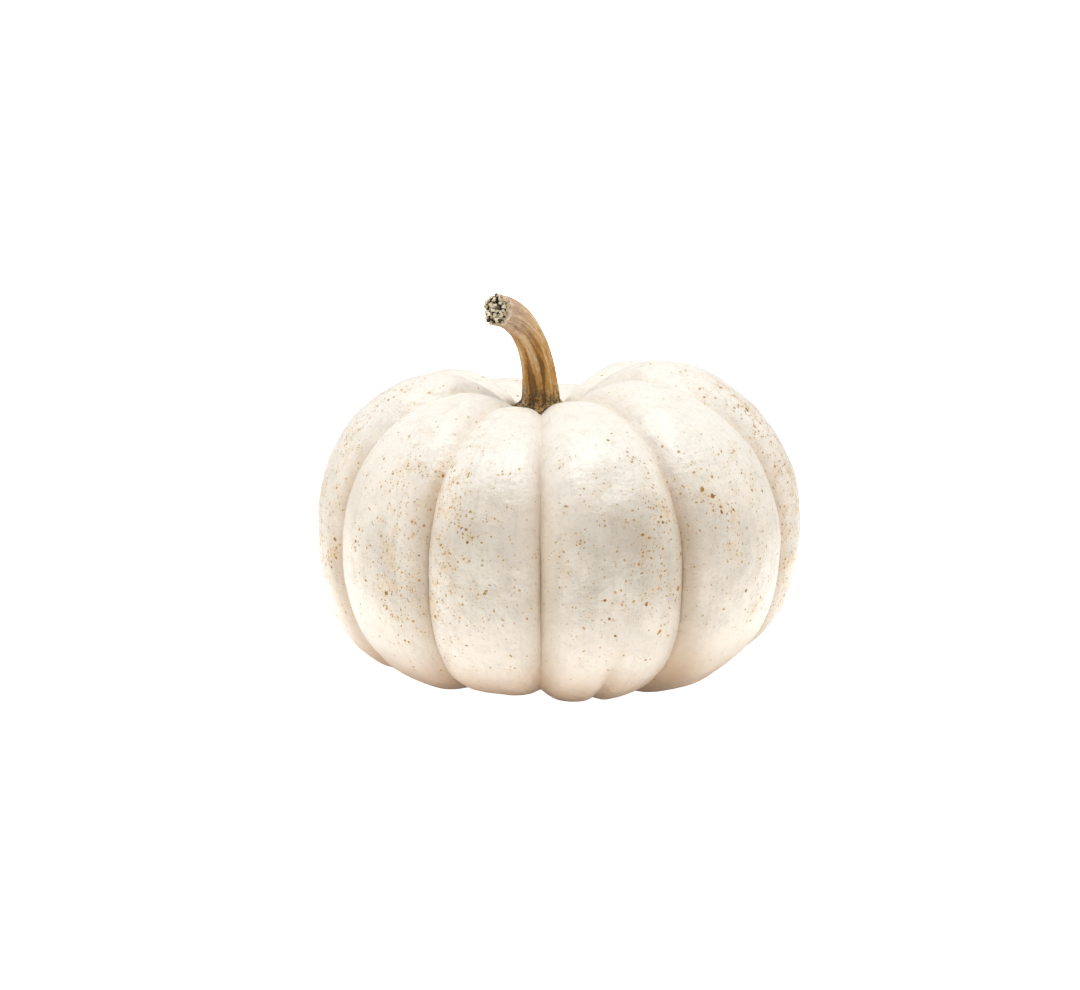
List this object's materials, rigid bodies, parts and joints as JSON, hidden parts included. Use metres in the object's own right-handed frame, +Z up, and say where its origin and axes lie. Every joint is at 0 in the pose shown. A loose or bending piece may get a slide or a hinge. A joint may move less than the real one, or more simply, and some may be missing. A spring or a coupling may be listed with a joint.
{
  "type": "mini pumpkin",
  "caption": "Small squat white pumpkin with deep rounded ribs, a russet-flecked waxy rind, a hollow crown and a bent, ribbed woody stem cut short.",
  "frame": {"origin": "on the floor under the middle of the whole object's box; the stem's axis stands 4.1 mm to the left and 1.2 mm behind it", "axes": "+Z up, -Y toward the front groove between the two front lobes, +X to the right as seen from the front; the stem bends toward -X and -Y"},
  "size_m": [0.1101, 0.109, 0.0875],
  "materials": {
    "rind": "satin",
    "stem": "matte"
  },
  "bodies": {
    "root": {"fruit": "rind", "stem": "stem"}
  },
  "joints": []
}
